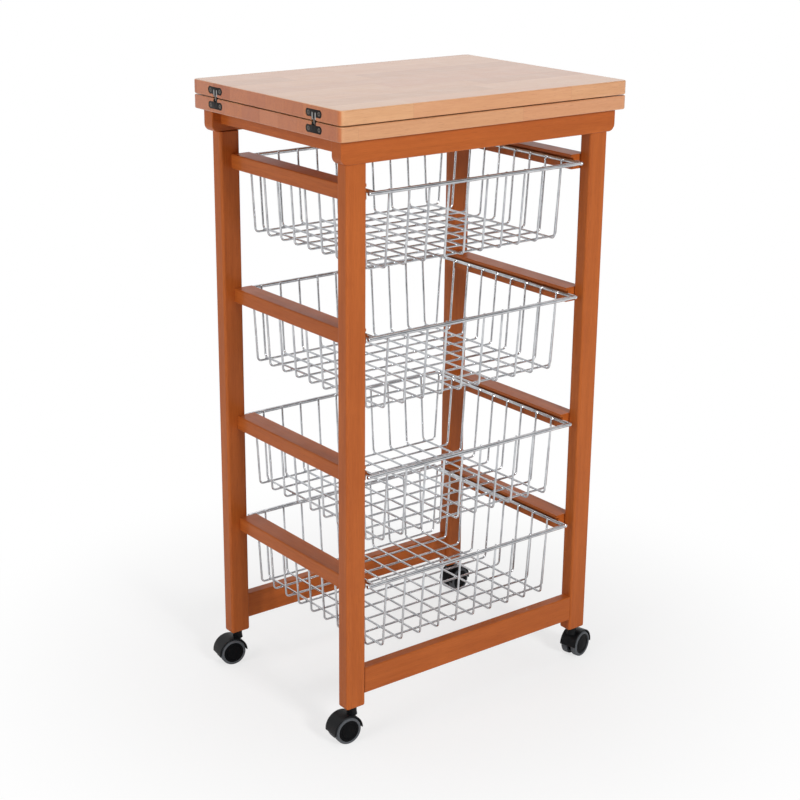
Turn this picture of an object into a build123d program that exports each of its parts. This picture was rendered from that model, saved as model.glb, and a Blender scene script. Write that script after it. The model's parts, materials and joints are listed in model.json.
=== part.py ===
"""Folding kitchen cart: a wooden frame with grooved runners, four wire baskets, a two-leaf
worktop that opens like a book, and four twin-wheel casters.

Frame of the model: millimetres, +Z up, X along the long front side, front face towards -Y,
hinges at the -X end. The origin is on the floor, below the middle of the worktop.
"""

from build123d import *
import math
import os

os.makedirs("parts", exist_ok=True)

# Worktop
total_height = 850.0
top_length = 470.0
top_depth = 335.0
board_thick = 18.5
seam_gap = 1.2
board_corner = 7.0
board_arris = 1.7

# Legs
leg_width = 30.0
leg_thick = 21.0
leg_end_inset = 19.0
leg_side_inset = 14.5
leg_arris = 3.4
leg_foot_round = 3.0
caster_height = 49.0

# Rails and stretchers
rail_height = 30.0
rail_thick = 21.0
rail_proud = 3.0
rail_overhang = 10.0
rail_arris = 1.6
cross_rail_height = 19.5
cross_rail_thick = 18.0
cross_rail_setback = 3.5
cross_rail_arris = 1.2
stretcher_height = 37.0
stretcher_thick = 16.0
stretcher_setback = 1.0
stretcher_lift = 17.3
stretcher_arris = 1.8

# Runners
runner_height = 20.0
runner_width = 28.5
runner_lap = 13.5
runner_arris = 2.0
runner_lip_arris = 0.8
first_runner_drop = 30.2
runner_step = 184.6
last_runner_step = 154.0
groove_floor = 8.0
groove_height = 8.0
groove_side_play = 1.0

# Dowels and worktop screws
dowel_dia = 6.0
dowel_length = 30.0
dowel_depth = 12.0
dowel_play = 0.03
dowel_end_play = 0.5
stretcher_dowel_pitch = 18.0
socket_wall_left = 1.0
screw_dia = 4.0
screw_head_dia = 8.0
screw_head_thick = 2.5
screw_bite = 13.0
screw_rail_wood = 14.0
screw_pitch = 120.0
screw_play = 0.05
screw_head_play = 0.5
bumper_dia = 10.0
bumper_play = 0.1
bumper_inset = 45.0

# Hinges of the two leaves
hinge_inset = 56.0
pivot_depth = 2.5
lug_radius = 2.0
pin_dia = 2.0
pin_play = 0.05
pin_seat_play = 0.01
link_thick = 3.6
lug_thick = 2.2
lug_side_play = 0.3
lug_root = 11.5
plate_length = 34.0
plate_height = 10.0
plate_waist = 9.4
plate_thick = 2.5
plate_edge = 4.0
plate_play = 0.05
notch_play = 0.6
link_slot_play = 0.7
hinge_screw_pitch = 22.0
hinge_screw_dia = 2.8
hinge_screw_head = 5.6
hinge_screw_length = 14.0
hinge_screw_sink = 0.1

# Wire baskets
rim_dia = 5.5
rim_bite = 2.95
rim_lift = 0.3
rim_end_round = 1.5
bar_leg_gap = 4.0
basket_length = 306.5
basket_depth = 103.0
wire_dia = 3.0
wire_bend = 6.0
wire_gap = 0.02
wire_rise = 2.2
side_lean = 6.5
front_lean = 8.0
long_wire_count = 10
short_wire_count = 9
long_wire_left_margin = 20.4
long_wire_right_margin = 27.7
short_wire_front_margin = 28.6
short_wire_back_margin = 9.6

# Casters
caster_yaws = {"front_left": -4.0, "front_right": 14.0, "back_left": -8.0, "back_right": 10.0}
caster_trail = 12.0
wheel_dia = 38.0
wheel_width = 9.6
wheel_play = 0.5
wheel_arris = 2.0
wheel_rim_band = 3.6
wheel_dish = 0.8
wheel_cap = 2.0
axle_dia = 5.0
axle_end_play = 0.4
axle_play = 0.05
web_thick = 6.0
hub_boss_dia = 12.0
hood_gap = 1.0
hood_wall = 2.0
hood_rear_angle = -6.0
hood_front_angle = 178.0
neck_dia = 13.0
neck_gap = 0.4
neck_floor = 1.2
stem_dia = 8.0
stem_top_play = 0.5
stem_tip = 1.0
stem_seat_play = 0.01
socket_dia = 10.0
socket_depth = 24.0
socket_roof = 1.5
socket_flange_dia = 14.0
socket_flange_thick = 1.2
socket_play = 0.02

# Levels worked out from the sizes above
flap_bottom = total_height - board_thick
lower_top = flap_bottom - seam_gap
lower_bottom = lower_top - board_thick
rail_bottom = lower_bottom - rail_height
leg_bottom = caster_height
stretcher_bottom = leg_bottom + stretcher_lift
first_runner = rail_bottom - first_runner_drop - runner_height
runner_levels = [
    first_runner,
    first_runner - runner_step,
    first_runner - 2 * runner_step,
    first_runner - 2 * runner_step - last_runner_step,
]

# Places worked out from the sizes above
end_x = top_length / 2
leg_outer_x = end_x - leg_end_inset
leg_inner_x = leg_outer_x - leg_width
leg_x = (leg_outer_x + leg_inner_x) / 2
leg_outer_y = top_depth / 2 - leg_side_inset
leg_inner_y = leg_outer_y - leg_thick
leg_y = (leg_outer_y + leg_inner_y) / 2
rail_inner_y = leg_outer_y + rail_proud - rail_thick
rail_y = rail_inner_y + rail_thick / 2
cross_rail_x = leg_outer_x - cross_rail_setback - cross_rail_thick / 2
cross_rail_z = lower_bottom - cross_rail_height / 2
stretcher_y = leg_outer_y - stretcher_setback - stretcher_thick / 2
stretcher_z = stretcher_bottom + stretcher_height / 2
runner_outer_x = leg_inner_x + runner_lap
runner_inner_x = runner_outer_x - runner_width
runner_dowel_x = leg_inner_x + runner_lap / 2
stretcher_dowel_depth = leg_width / 2 - socket_dia / 2 - socket_wall_left
groove_depth = rim_bite + groove_side_play
hinge_y = top_depth / 2 - hinge_inset

LEFT, RIGHT = -1, 1
FRONT, BACK = -1, 1
CORNERS = {
    "front_left": (LEFT, FRONT),
    "front_right": (RIGHT, FRONT),
    "back_left": (LEFT, BACK),
    "back_right": (RIGHT, BACK),
}


def save(piece, name):
    """Label a finished piece and write it to its own file."""
    piece.part.label = name
    export_step(piece.part, f"parts/{name}.step")


def drill(at, along, dia, depth):
    """Round hole in the piece being built, from a point, along a direction."""
    with BuildSketch(Plane(origin=at, z_dir=along)) as mouth:
        Circle(dia / 2)
    extrude(mouth.sketch, amount=depth, mode=Mode.SUBTRACT)


def peg(at, along, dia, length):
    """Round peg in the piece being built, from a point, along a direction."""
    with BuildSketch(Plane(origin=at, z_dir=along)) as foot:
        Circle(dia / 2)
    extrude(foot.sketch, amount=length)


def dowel_hole(at, along, depth):
    """Hole for one end of a dowel, a little wider and deeper than the dowel."""
    drill(at, along, dowel_dia + 2 * dowel_play, depth + dowel_end_play)


# Each dowel: the point where it crosses the joint, its direction into the leg or rail, its depth there
def leg_top_dowel(side, face):
    return (side * leg_x, face * leg_y, rail_bottom), (0, 0, 1), dowel_length / 2


def cross_rail_dowel(side, face):
    return (side * cross_rail_x, face * rail_inner_y, cross_rail_z), (0, face, 0), dowel_depth


def runner_dowel(side, face, level):
    return (side * runner_dowel_x, face * leg_inner_y, level + runner_height / 2), (0, face, 0), dowel_depth


def stretcher_dowels(side, face):
    for step in (-0.5, 0.5):
        z = stretcher_z + step * stretcher_dowel_pitch
        yield (side * leg_inner_x, face * stretcher_y, z), (side, 0, 0), stretcher_dowel_depth


def opposite(direction):
    return tuple(-value for value in direction)


def near_side(dowel):
    """The hole of a dowel in the leg or rail that it runs into."""
    at, along, depth = dowel
    dowel_hole(at, along, depth)


def far_side(dowel):
    """The hole of a dowel in the piece that it comes out of."""
    at, along, depth = dowel
    dowel_hole(at, opposite(along), dowel_length - depth)


# Legs
for corner, (side, face) in CORNERS.items():
    with BuildPart() as leg:
        with BuildSketch(Plane.XY.offset(leg_bottom)):
            with Locations((side * leg_x, face * leg_y)):
                Rectangle(leg_width, leg_thick)
        extrude(amount=rail_bottom - leg_bottom)
        fillet(leg.edges().filter_by(Axis.Z), leg_arris)
        fillet(leg.faces().sort_by(Axis.Z)[0].edges(), leg_foot_round)
        far_side(leg_top_dowel(side, face))
        for level in runner_levels:
            near_side(runner_dowel(side, face, level))
        for dowel in stretcher_dowels(side, face):
            near_side(dowel)
        foot = (side * leg_x, face * leg_y, leg_bottom)
        drill(foot, (0, 0, 1), socket_dia + 2 * socket_play, socket_depth)
    save(leg, f"leg_{corner}")

# Top rails, with the screws that hold the lower leaf
worktop_screw_xs = [-screw_pitch, 0.0, screw_pitch]
screw_head_z = lower_bottom - screw_rail_wood
for end, face in (("front", FRONT), ("back", BACK)):
    with BuildPart() as rail:
        with BuildSketch(Plane.XY.offset(rail_bottom)):
            with Locations((0, face * rail_y)):
                Rectangle(2 * (leg_outer_x + rail_overhang), rail_thick)
        extrude(amount=rail_height)
        fillet(rail.edges().filter_by(Axis.Y).group_by(Axis.Z)[0], rail_overhang)
        outline = rail.faces().sort_by(Axis.Y)[0].edges() + rail.faces().sort_by(Axis.Y)[-1].edges()
        fillet(outline.filter_by(lambda edge: edge.center().Z < lower_bottom - rail_arris), rail_arris)
        for side in (LEFT, RIGHT):
            near_side(leg_top_dowel(side, face))
            near_side(cross_rail_dowel(side, face))
        for x in worktop_screw_xs:
            head_room = screw_head_dia + 2 * screw_head_play
            drill((x, face * rail_y, rail_bottom), (0, 0, 1), head_room, screw_head_z - rail_bottom)
            drill((x, face * rail_y, rail_bottom), (0, 0, 1), screw_dia + 2 * screw_play, rail_height)
    save(rail, f"top_rail_{end}")

# Cross rails under the worktop
for end, side in (("left", LEFT), ("right", RIGHT)):
    with BuildPart() as cross_rail:
        with BuildSketch(Plane.XY.offset(lower_bottom - cross_rail_height)):
            with Locations((side * cross_rail_x, 0)):
                Rectangle(cross_rail_thick, 2 * rail_inner_y)
        extrude(amount=cross_rail_height)
        fillet(cross_rail.edges().filter_by(Axis.Y).group_by(Axis.Z)[0], cross_rail_arris)
        for face in (FRONT, BACK):
            far_side(cross_rail_dowel(side, face))
    save(cross_rail, f"cross_rail_{end}")

# Bottom stretchers between the legs
for end, face in (("front", FRONT), ("back", BACK)):
    with BuildPart() as stretcher:
        with BuildSketch(Plane.XY.offset(stretcher_bottom)):
            with Locations((0, face * stretcher_y)):
                Rectangle(2 * leg_inner_x, stretcher_thick)
        extrude(amount=stretcher_height)
        fillet(stretcher.edges().filter_by(Axis.X), stretcher_arris)
        for side in (LEFT, RIGHT):
            for dowel in stretcher_dowels(side, face):
                far_side(dowel)
    save(stretcher, f"stretcher_{end}")

# Grooved runners, numbered from the top
for end, side in (("left", LEFT), ("right", RIGHT)):
    for number, level in enumerate(runner_levels, start=1):
        with BuildPart() as runner:
            with BuildSketch(Plane.XY.offset(level)):
                with Locations((side * (runner_inner_x + runner_width / 2), 0)):
                    Rectangle(runner_width, 2 * leg_inner_y)
            extrude(amount=runner_height)
            long_edges = runner.edges().filter_by(Axis.Y).sort_by(lambda edge: side * edge.center().X)
            fillet(long_edges[2:], runner_arris)
            long_edges = runner.edges().filter_by(Axis.Y).sort_by(lambda edge: side * edge.center().X)
            fillet(long_edges[:2], runner_lip_arris)
            with BuildSketch(Plane.XY.offset(level + groove_floor)):
                with Locations((side * (runner_inner_x + groove_depth / 2), 0)):
                    Rectangle(groove_depth, 2 * leg_inner_y)
            extrude(amount=groove_height, mode=Mode.SUBTRACT)
            for face in (FRONT, BACK):
                far_side(runner_dowel(side, face, level))
        save(runner, f"runner_{end}_{number}")

# Dowels of the whole frame
with BuildPart() as dowels:
    for side, face in CORNERS.values():
        here = [leg_top_dowel(side, face), cross_rail_dowel(side, face)]
        here += [runner_dowel(side, face, level) for level in runner_levels]
        here += list(stretcher_dowels(side, face))
        for at, along, depth in here:
            start = Vector(*at) - Vector(*along) * (dowel_length - depth)
            peg(start, along, dowel_dia, dowel_length)
save(dowels, "frame_dowels")

# Screws from the top rails up into the lower leaf
with BuildPart() as worktop_screws:
    for face in (FRONT, BACK):
        for x in worktop_screw_xs:
            foot = (x, face * rail_y, screw_head_z - screw_head_thick)
            peg(foot, (0, 0, 1), screw_head_dia, screw_head_thick)
            peg(foot, (0, 0, 1), screw_dia, screw_head_thick + screw_rail_wood + screw_bite)
save(worktop_screws, "worktop_screws")

# Felt bumpers in the seam
with BuildPart() as bumpers:
    for side, face in CORNERS.values():
        place = (side * (end_x - bumper_inset), face * (top_depth / 2 - bumper_inset), lower_top)
        peg(place, (0, 0, 1), bumper_dia, seam_gap - bumper_play)
save(bumpers, "worktop_bumpers")

# Hinges: each leaf has its pivot equally far from its seam face and from its end face, so that
# the link, upright when closed, lies level when open, with the two leaves flush and end to end
pivot_x = -end_x + pivot_depth
SEAM = {"lower": lower_top, "upper": flap_bottom}
AWAY = {"lower": -1, "upper": 1}
HINGES = {"front": -hinge_y, "back": hinge_y}
lug_offset = link_thick / 2 + lug_side_play + lug_thick / 2
pin_length = 2 * (lug_offset + lug_thick / 2)
notch_width = pin_length + 2 * notch_play
notch_depth = pivot_depth + lug_radius + notch_play
notch_height = lug_root + notch_play


def plate_z(half):
    return SEAM[half] + AWAY[half] * (plate_edge + plate_height / 2)


def pivot_z(half):
    return SEAM[half] + AWAY[half] * pivot_depth


def plate_outline(half, y, margin):
    """A plate's outline in the sketch being drawn: a round lobe at each end and a narrower waist."""
    lobe = (plate_length - plate_height) / 2
    with Locations((y - lobe, plate_z(half)), (y + lobe, plate_z(half))):
        Circle(plate_height / 2 + margin)
    with Locations((y, plate_z(half))):
        Rectangle(2 * lobe, plate_waist + 2 * margin)


def hinge_seat(half, y):
    """Cut a leaf's seat for one hinge half: the plate's recess, the lugs' notch, the screws' holes."""
    with BuildSketch(Plane.YZ.offset(-end_x)) as recess:
        plate_outline(half, y, plate_play)
    extrude(recess.sketch, amount=plate_thick + plate_play, mode=Mode.SUBTRACT)
    with BuildSketch(Plane.YZ.offset(-end_x)) as notch:
        with Locations((y, SEAM[half] + AWAY[half] * notch_height / 2)):
            Rectangle(notch_width, notch_height)
    extrude(notch.sketch, amount=notch_depth, mode=Mode.SUBTRACT)
    for step in (-0.5, 0.5):
        mouth = (-end_x, y + step * hinge_screw_pitch, plate_z(half))
        drill(mouth, (1, 0, 0), hinge_screw_dia + 2 * screw_play, hinge_screw_length + dowel_end_play)


def leaf(name, half, bottom):
    """One leaf of the worktop, with rounded corners, eased arrises and its two hinge seats."""
    with BuildPart() as board:
        with BuildSketch(Plane.XY.offset(bottom)):
            RectangleRounded(top_length, top_depth, board_corner)
        extrude(amount=board_thick)
        fillet(board.faces().sort_by(Axis.Z)[0].edges(), board_arris)
        fillet(board.faces().sort_by(Axis.Z)[-1].edges(), board_arris)
        for y in HINGES.values():
            hinge_seat(half, y)
        if half == "lower":
            for face in (FRONT, BACK):
                for x in worktop_screw_xs:
                    hole = (x, face * rail_y, lower_bottom)
                    drill(hole, (0, 0, 1), screw_dia + 2 * screw_play, screw_bite + dowel_end_play)
    save(board, name)


leaf("worktop_lower", "lower", lower_bottom)
leaf("worktop_flap", "upper", flap_bottom)


def hinge_plate(name, half, y):
    """Two-lobed plate, let in flush with the leaf's end, with two lugs that hold the pivot pin."""
    away = AWAY[half]
    with BuildPart() as plate:
        with BuildSketch(Plane.YZ.offset(-end_x)):
            plate_outline(half, y, 0)
        extrude(amount=plate_thick)
        for step in (-1, 1):
            with BuildSketch(Plane.XZ.offset(-(y + step * lug_offset))):
                with Locations((pivot_x, pivot_z(half))):
                    Circle(lug_radius)
                with Locations((pivot_x, (pivot_z(half) + SEAM[half] + away * lug_root) / 2)):
                    Rectangle(2 * lug_radius, lug_root - pivot_depth)
            extrude(amount=lug_thick / 2, both=True)
        slot_end = pivot_depth + lug_radius + link_slot_play
        with BuildSketch(Plane.YZ.offset(-end_x)):
            with Locations((y, SEAM[half] + away * slot_end / 2)):
                Rectangle(link_thick + 2 * lug_side_play, slot_end)
        extrude(amount=plate_thick, mode=Mode.SUBTRACT)
        pin_end = (pivot_x, y - pin_length / 2, pivot_z(half))
        drill(pin_end, (0, 1, 0), pin_dia + 2 * pin_seat_play, pin_length)
        for step in (-0.5, 0.5):
            mouth = Plane(origin=(-end_x, y + step * hinge_screw_pitch, plate_z(half)), z_dir=(-1, 0, 0))
            with Locations(mouth):
                head_radius = hinge_screw_head / 2 + screw_play
                CounterSinkHole(hinge_screw_dia / 2 + screw_play, head_radius, depth=plate_thick)
    save(plate, name)


for end, y in HINGES.items():
    for half in ("lower", "upper"):
        hinge_plate(f"hinge_plate_{end}_{half}", half, y)

# Links between the two pivots
for end, y in HINGES.items():
    with BuildPart() as link:
        with BuildSketch(Plane.XZ.offset(-y)):
            for half in ("lower", "upper"):
                with Locations((pivot_x, pivot_z(half))):
                    Circle(lug_radius)
            with Locations((pivot_x, (pivot_z("lower") + pivot_z("upper")) / 2)):
                Rectangle(2 * lug_radius, pivot_z("upper") - pivot_z("lower"))
            for half in ("lower", "upper"):
                with Locations((pivot_x, pivot_z(half))):
                    Circle(pin_dia / 2 + pin_play, mode=Mode.SUBTRACT)
        extrude(amount=link_thick / 2, both=True)
    save(link, f"hinge_link_{end}")

# Pivot pins and countersunk screws, one group for each leaf
head_sink_depth = (hinge_screw_head - hinge_screw_dia) / 2
screw_tip = hinge_screw_length - hinge_screw_sink
for half in ("lower", "upper"):
    with BuildPart() as pins:
        for y in HINGES.values():
            peg((pivot_x, y - pin_length / 2, pivot_z(half)), (0, 1, 0), pin_dia, pin_length)
    save(pins, f"hinge_pins_{half}")
    with BuildPart() as screws:
        for y in HINGES.values():
            for step in (-0.5, 0.5):
                head = (-end_x + hinge_screw_sink, y + step * hinge_screw_pitch, plate_z(half))
                with BuildSketch(Plane(origin=head, x_dir=(1, 0, 0), z_dir=(0, -1, 0))):
                    with BuildLine():
                        Polyline(
                            (0, 0),
                            (0, hinge_screw_head / 2 - hinge_screw_sink),
                            (head_sink_depth, hinge_screw_dia / 2),
                            (screw_tip - hinge_screw_dia / 2, hinge_screw_dia / 2),
                            (screw_tip, 0),
                            close=True,
                        )
                    make_face()
                revolve(axis=Axis(head, (1, 0, 0)))
    save(screws, f"hinge_screws_{half}")

# Wire baskets: two stout rods that run in the grooves, a front bar and a back bar that join them,
# and thin bent wires welded inside. The front bar meets the right rod's side near its end. On the
# left it passes the rod's end and reaches towards the leg, so that it stops at the runner's end.
# The back bar is no longer than the grooves are apart, so that the basket can be drawn out.
rim_radius = rim_dia / 2
wire_radius = wire_dia / 2
rim_x = runner_inner_x + rim_bite - rim_radius
rim_y = basket_length / 2 - rim_radius


def wire_top(rim_place, lean):
    """Where a leaning wire's axis crosses the rim's level, so that it just touches the rim's inside."""
    slope = math.atan2(lean, basket_depth)
    return rim_place - (rim_radius + wire_radius + wire_gap) / math.cos(slope)


def bent_wire(profile, top, lean, drop, places):
    """Wires bent like a U: down one wall, across the bottom, up the other wall, one at each place."""
    slope = lean / basket_depth
    head = top + slope * wire_rise
    foot = top - slope * drop
    for place in places:
        with BuildPart() as wire:
            with BuildLine():
                run = FilletPolyline(
                    profile(place, -head, wire_rise),
                    profile(place, -foot, -drop),
                    profile(place, foot, -drop),
                    profile(place, head, wire_rise),
                    radius=wire_bend,
                )
            with BuildSketch(Plane(origin=run @ 0, z_dir=run % 0)):
                Circle(wire_radius)
            sweep()
        yield wire.part


def spread(first, last, count):
    """Evenly spaced places from the first to the last."""
    return [first + (last - first) * index / (count - 1) for index in range(count)]


short_wire_drop = basket_depth
long_wire_drop = basket_depth - wire_dia - wire_gap
side_top = wire_top(rim_x, side_lean)
front_top = wire_top(rim_y, front_lean)
left_wire = -side_top + long_wire_left_margin
right_wire = side_top - long_wire_right_margin
long_wire_xs = spread(left_wire, right_wire, long_wire_count)
front_wire = -front_top + short_wire_front_margin
back_wire = front_top - short_wire_back_margin
short_wire_ys = spread(front_wire, back_wire, short_wire_count)


def along_y(x, y, z):
    return (x, y, z)


def along_x(y, x, z):
    return (x, y, z)


def straight_rod(start, along, length):
    """A straight stout wire of the rim, with rounded ends."""
    with BuildPart() as rod:
        peg(start, along, rim_dia, length)
        fillet(rod.edges().filter_by(GeomType.CIRCLE), rim_end_round)
    return rod.part


inside_bar = rim_y - rim_radius - wire_gap
outside_bar = rim_y + rim_radius
inside_rod = rim_x - rim_radius - wire_gap
outside_rod = rim_x + rim_radius
bar_left = leg_inner_x - bar_leg_gap
basket_wires = [
    straight_rod((-rim_x, -inside_bar, 0), (0, 1, 0), 2 * inside_bar),
    straight_rod((rim_x, -outside_bar, 0), (0, 1, 0), outside_bar + inside_bar),
    straight_rod((-bar_left, -rim_y, 0), (1, 0, 0), bar_left + inside_rod),
    straight_rod((-outside_rod, rim_y, 0), (1, 0, 0), 2 * outside_rod),
]
basket_wires += bent_wire(along_y, front_top, front_lean, long_wire_drop, long_wire_xs)
basket_wires += bent_wire(along_x, side_top, side_lean, short_wire_drop, short_wire_ys)

for number, level in enumerate(runner_levels, start=1):
    rim_z = level + groove_floor + rim_lift + rim_radius
    with BuildPart() as basket:
        with Locations((0, 0, rim_z)):
            add(basket_wires)
    save(basket, f"basket_{number}")

# Casters, each turned about its stem so that its wheels trail to the cart's nearer end
wheel_radius = wheel_dia / 2
wheel_inner = web_thick / 2 + wheel_play
wheel_outer = wheel_inner + wheel_width
hood_inner = wheel_radius + hood_gap
hood_outer = hood_inner + hood_wall
neck_top = leg_bottom - socket_flange_thick - neck_gap
stem_bottom = wheel_radius + math.sqrt(hood_inner**2 - caster_trail**2) + neck_floor

with BuildPart() as sockets:
    for side, face in CORNERS.values():
        foot = (side * leg_x, face * leg_y, leg_bottom)
        peg(foot, (0, 0, -1), socket_flange_dia, socket_flange_thick)
        peg(foot, (0, 0, 1), socket_dia, socket_depth)
        mouth = (side * leg_x, face * leg_y, leg_bottom - socket_flange_thick)
        bore_depth = socket_flange_thick + socket_depth - socket_roof
        drill(mouth, (0, 0, 1), stem_dia + 2 * axle_play, bore_depth)
save(sockets, "caster_sockets")


def caster(corner, side, face):
    """Stem, hood, axle and two wheels of one caster."""
    yaw = math.radians(caster_yaws[corner])
    trail = Vector(side * math.cos(yaw), side * math.sin(yaw), 0)
    across = trail.cross(Vector(0, 0, 1))
    pivot = Vector(side * leg_x, face * leg_y, 0)
    hub = pivot + trail * caster_trail + Vector(0, 0, wheel_radius)
    wheel_plane = Plane(origin=hub, x_dir=trail, z_dir=across)

    with BuildPart() as stem:
        stem_length = leg_bottom + socket_depth - socket_roof - stem_top_play - stem_bottom
        peg(pivot + Vector(0, 0, stem_bottom), (0, 0, 1), stem_dia, stem_length)
        chamfer(stem.faces().sort_by(Axis.Z)[-1].edges(), stem_tip)
    save(stem, f"caster_{corner}_stem")

    with BuildPart() as hood:
        peg(pivot + Vector(0, 0, wheel_radius), (0, 0, 1), neck_dia, neck_top - wheel_radius)
        with BuildSketch(wheel_plane):
            Circle(hood_inner)
        extrude(amount=hood_outer, both=True, mode=Mode.SUBTRACT)
        sweep_angle = hood_front_angle - hood_rear_angle
        with BuildSketch(wheel_plane):
            with BuildLine():
                outside = CenterArc((0, 0), hood_outer, hood_rear_angle, sweep_angle)
                inside = CenterArc((0, 0), hood_inner, hood_rear_angle, sweep_angle)
                Line(outside @ 0, inside @ 0)
                Line(outside @ 1, inside @ 1)
            make_face()
        extrude(amount=wheel_outer, both=True)
        with BuildSketch(wheel_plane):
            with BuildLine():
                crown = CenterArc((0, 0), hood_inner + hood_wall / 2, hood_rear_angle, sweep_angle)
                Line(crown @ 1, (0, 0))
                Line((0, 0), crown @ 0)
            make_face()
            Circle(hub_boss_dia / 2)
        extrude(amount=web_thick / 2, both=True)
        neck_depth = neck_top - stem_bottom
        drill(pivot + Vector(0, 0, neck_top), (0, 0, -1), stem_dia + 2 * stem_seat_play, neck_depth)
        bore_start = hub - across * web_thick
        drill(bore_start, across, axle_dia + 2 * stem_seat_play, 2 * web_thick)
    save(hood, f"caster_{corner}_hood")

    with BuildPart() as axle:
        reach = wheel_outer - wheel_cap - axle_end_play
        peg(hub - across * reach, across, axle_dia, 2 * reach)
    save(axle, f"caster_{corner}_axle")

    for letter, out in (("a", across), ("b", across * -1)):
        with BuildPart() as wheel:
            with BuildSketch(Plane(origin=hub, x_dir=out, z_dir=out.cross(Vector(0, 0, 1)))):
                with BuildLine():
                    bore = axle_dia / 2 + axle_play
                    band = wheel_radius - wheel_rim_band
                    Polyline(
                        (wheel_inner, bore),
                        (wheel_inner, wheel_radius),
                        (wheel_outer, wheel_radius),
                        (wheel_outer, band),
                        (wheel_outer - wheel_dish, band - wheel_dish),
                        (wheel_outer - wheel_dish, 0),
                        (wheel_outer - wheel_cap, 0),
                        (wheel_outer - wheel_cap, bore),
                        close=True,
                    )
                make_face()
            revolve(axis=Axis(hub, out))
            tread = wheel.edges().filter_by(GeomType.CIRCLE).group_by(SortBy.RADIUS)[-1]
            fillet(tread, wheel_arris)
        save(wheel, f"caster_{corner}_wheel_{letter}")


for corner, (side, face) in CORNERS.items():
    caster(corner, side, face)
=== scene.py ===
# %% [markdown]
# # A folding kitchen cart
#
# The cart is a stained wooden trolley on four twin-wheel casters, with four wire baskets in
# grooved runners and a top of two leaves that opens like a book. Its solid model is already
# built and packed, in metres, with +Z up and the front face towards -Y. This lesson loads that
# model as a fixed frame, keeps the wooden pieces as they are, and works out everything that
# needs a finer surface, such as wire, hinges and casters, with numpy.

# %% Load the solid model as a fixed frame
import json
import math

import bmesh
import bpy
import numpy as np
from mathutils import Matrix, Vector


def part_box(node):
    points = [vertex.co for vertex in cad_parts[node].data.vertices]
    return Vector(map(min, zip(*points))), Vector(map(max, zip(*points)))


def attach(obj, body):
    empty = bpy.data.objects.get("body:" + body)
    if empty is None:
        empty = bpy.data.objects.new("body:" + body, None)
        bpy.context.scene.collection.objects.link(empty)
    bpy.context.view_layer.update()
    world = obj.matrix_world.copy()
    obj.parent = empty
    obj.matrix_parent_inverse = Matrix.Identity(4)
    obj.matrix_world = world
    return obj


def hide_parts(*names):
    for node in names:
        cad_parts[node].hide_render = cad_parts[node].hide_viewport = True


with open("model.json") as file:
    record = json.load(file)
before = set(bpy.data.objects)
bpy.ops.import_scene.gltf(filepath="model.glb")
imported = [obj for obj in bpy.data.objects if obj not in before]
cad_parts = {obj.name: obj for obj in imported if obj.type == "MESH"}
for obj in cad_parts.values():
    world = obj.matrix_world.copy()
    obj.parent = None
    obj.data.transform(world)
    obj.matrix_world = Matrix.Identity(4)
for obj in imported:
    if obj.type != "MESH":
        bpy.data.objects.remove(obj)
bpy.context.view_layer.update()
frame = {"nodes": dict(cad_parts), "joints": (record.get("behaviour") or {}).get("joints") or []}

MM = 0.001
nodes = frame["nodes"]
joints = {joint["name"]: joint for joint in frame["joints"]}
CORNERS = ("front_left", "front_right", "back_left", "back_right")

# %% [markdown]
# ## Surfaces as arrays
#
# Every new shape here is a grid of points: a function of two parameters, or a small profile
# carried along a path. A grid could be turned into a mesh point by point, but whole arrays are
# quicker and easier to read. A few helpers do the common work: they number the cells of a grid,
# put surfaces together, and make a mesh that rides on one of the model's bodies.

# %% Turn grids into pieces
SHARP_ANGLE = math.radians(35.0)


def unit(vectors):
    """Vectors scaled to length one, along the last axis."""
    return vectors / np.linalg.norm(vectors, axis=-1, keepdims=True)


def grid_cells(rows, columns, wrap_rows=False, wrap_columns=False):
    """Corner numbers of each cell of a grid of points: (i, j), (i, j+1), (i+1, j+1), (i+1, j).

    A wrapped direction also joins its last line of points to its first."""
    i = np.arange(rows if wrap_rows else rows - 1)[:, None]
    j = np.arange(columns if wrap_columns else columns - 1)[None, :]
    below, right = (i + 1) % rows, (j + 1) % columns
    corners = (i * columns + j, i * columns + right, below * columns + right, below * columns + j)
    return np.stack(np.broadcast_arrays(*corners), axis=-1).reshape(-1, 4)


def grid_surface(points, wrap_rows=False, wrap_columns=False, cap_rows=False):
    """A grid of points as one surface: its flat list of points and its faces.

    With cap_rows, the first and last rows, which are closed rings, are filled by one face each."""
    rows, columns = points.shape[:2]
    faces = grid_cells(rows, columns, wrap_rows, wrap_columns).tolist()
    if cap_rows:
        faces.append(list(range(columns))[::-1])
        faces.append(list(range((rows - 1) * columns, rows * columns)))
    return points.reshape(-1, 3), faces


def stacked(surfaces):
    """Several surfaces as one: the points in a row, each face's numbers moved past the points before."""
    points, faces, count = [], [], 0
    for some_points, some_faces in surfaces:
        points.append(some_points)
        faces.extend([[number + count for number in face] for face in some_faces])
        count += len(some_points)
    return np.vstack(points), faces


def make_piece(name, surfaces, material, body, replaced):
    """One mesh object out of surfaces, with its faces pointing outwards, riding on a body.

    It stands in place of the solid nodes that are listed as replaced."""
    points, faces = stacked(surfaces)
    mesh = bpy.data.meshes.new(name)
    mesh.from_pydata(points.tolist(), [], faces)
    shape = bmesh.new()
    shape.from_mesh(mesh)
    bmesh.ops.recalc_face_normals(shape, faces=shape.faces)
    shape.to_mesh(mesh)
    shape.free()
    mesh.polygons.foreach_set("use_smooth", np.ones(len(mesh.polygons), bool))
    mesh.set_sharp_from_angle(angle=SHARP_ANGLE)
    mesh.materials.append(material)
    piece = bpy.data.objects.new(name, mesh)
    bpy.context.scene.collection.objects.link(piece)
    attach(piece, body)
    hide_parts(*replaced)


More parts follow.
